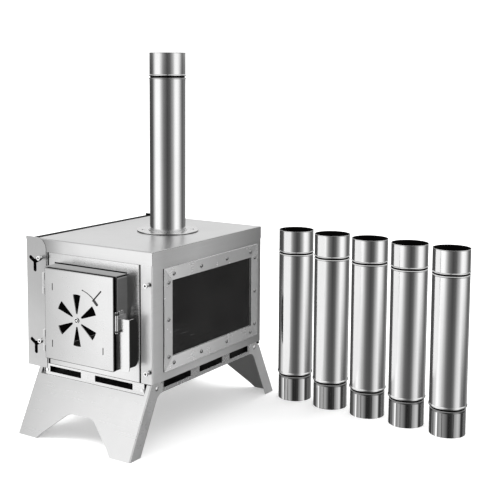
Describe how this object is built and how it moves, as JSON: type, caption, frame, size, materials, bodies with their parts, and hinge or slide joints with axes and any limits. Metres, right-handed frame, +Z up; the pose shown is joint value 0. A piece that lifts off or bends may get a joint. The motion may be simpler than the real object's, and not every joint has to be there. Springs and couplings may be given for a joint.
{
  "type": "tent wood stove",
  "caption": "Sheet steel box stove on folding splayed legs with hinged front door, rotary air damper, side window, hanging side shield and plug-together flue sections",
  "frame": {"origin": "middle of the whole kit's footprint on the floor, stove and loose flue sections together", "axes": "+Z up, the door faces -Y, the window faces +X, the loose flue sections stand towards +X"},
  "size_m": [0.6236, 0.4451, 0.6095],
  "materials": {
    "sheet_steel": "brushed stainless sheet",
    "pipe_steel": "satin stainless tube",
    "fittings": "bright zinc and stainless",
    "firebox_steel": "heat-stained steel",
    "black_coating": "matt black heat-proof coating",
    "stove_glass": "smoked heat-proof glass",
    "rope_gasket": "woven glass-fibre rope"
  },
  "bodies": {
    "stove": {"top_cover": "sheet_steel", "left_side_panel": "sheet_steel", "right_side_panel": "sheet_steel", "front_panel": "sheet_steel", "back_panel": "sheet_steel", "base_tray": "sheet_steel", "tray_rivets": "fittings", "grate": "firebox_steel", "baffle_plate": "firebox_steel", "door_neck": "sheet_steel", "neck_hinge_leaf": "fittings", "hinge_pin": "fittings", "latch_keeper": "fittings", "window_bar_top": "sheet_steel", "window_bar_bottom": "sheet_steel", "window_bar_front": "sheet_steel", "window_bar_rear": "sheet_steel", "window_glass": "stove_glass", "window_gasket": "rope_gasket", "window_retainer": "firebox_steel", "window_screws": "fittings", "window_nuts": "fittings", "flue_collar": "sheet_steel", "flue_spigot": "sheet_steel", "hang_bolts": "fittings", "leg_pivots": "fittings", "rear_spacers": "black_coating"},
    "front_leg": {"front_leg": "sheet_steel"},
    "rear_leg": {"rear_leg": "sheet_steel"},
    "door": {"door_pan": "sheet_steel", "door_hinge_leaf": "fittings", "door_gasket": "rope_gasket", "door_liner": "firebox_steel", "damper_rivet": "fittings", "latch_bracket": "fittings", "latch_pin": "fittings"},
    "damper": {"damper_disc": "fittings", "damper_lever": "fittings"},
    "latch": {"latch_handle": "fittings"},
    "side_shield": {"side_shield": "sheet_steel", "shield_edge_strip": "black_coating"},
    "mounted_section": {"flue_section_1": "pipe_steel"},
    "loose_section_1": {"flue_section_2": "pipe_steel"},
    "loose_section_2": {"flue_section_3": "pipe_steel"},
    "loose_section_3": {"flue_section_4": "pipe_steel"},
    "loose_section_4": {"flue_section_5": "pipe_steel"},
    "loose_section_5": {"flue_section_6": "pipe_steel"}
  },
  "joints": [
    {"name": "door_swing", "type": "hinge", "parent": "stove", "child": "door", "pos_m": [-0.2482, -0.19705, 0.199], "axis": [0, 0, -1], "range_deg": [0, 110]},
    {"name": "damper_turn", "type": "hinge", "parent": "door", "child": "damper", "pos_m": [-0.1772, -0.20085, 0.196], "axis": [0, -1, 0], "range_deg": [0, 30]},
    {"name": "latch_swing", "type": "hinge", "parent": "door", "child": "latch", "pos_m": [-0.1011, -0.19915, 0.2], "axis": [0, 0, -1], "range_deg": [0, 90]},
    {"name": "front_leg_fold", "type": "hinge", "parent": "stove", "child": "front_leg", "pos_m": [-0.1732, -0.15455, 0.0965], "axis": [1, 0, 0], "range_deg": [0, 115]},
    {"name": "rear_leg_fold", "type": "hinge", "parent": "stove", "child": "rear_leg", "pos_m": [-0.1732, 0.12945, 0.0965], "axis": [-1, 0, 0], "range_deg": [0, 115]},
    {"name": "shield_shift", "type": "slide", "parent": "stove", "child": "side_shield", "axis": [0.892, 0, 0.452], "range_m": [0, 0.0166]},
    {"name": "mounted_section_lift", "type": "slide", "parent": "stove", "child": "mounted_section", "axis": [0, 0, 1], "range_m": [0, 0.06]},
    {"name": "loose_section_1_lift", "type": "slide", "parent": "stove", "child": "loose_section_1", "axis": [0, 0, 1], "range_m": [0, 0.35]},
    {"name": "loose_section_2_lift", "type": "slide", "parent": "stove", "child": "loose_section_2", "axis": [0, 0, 1], "range_m": [0, 0.35]},
    {"name": "loose_section_3_lift", "type": "slide", "parent": "stove", "child": "loose_section_3", "axis": [0, 0, 1], "range_m": [0, 0.35]},
    {"name": "loose_section_4_lift", "type": "slide", "parent": "stove", "child": "loose_section_4", "axis": [0, 0, 1], "range_m": [0, 0.35]},
    {"name": "loose_section_5_lift", "type": "slide", "parent": "stove", "child": "loose_section_5", "axis": [0, 0, 1], "range_m": [0, 0.35]}
  ]
}
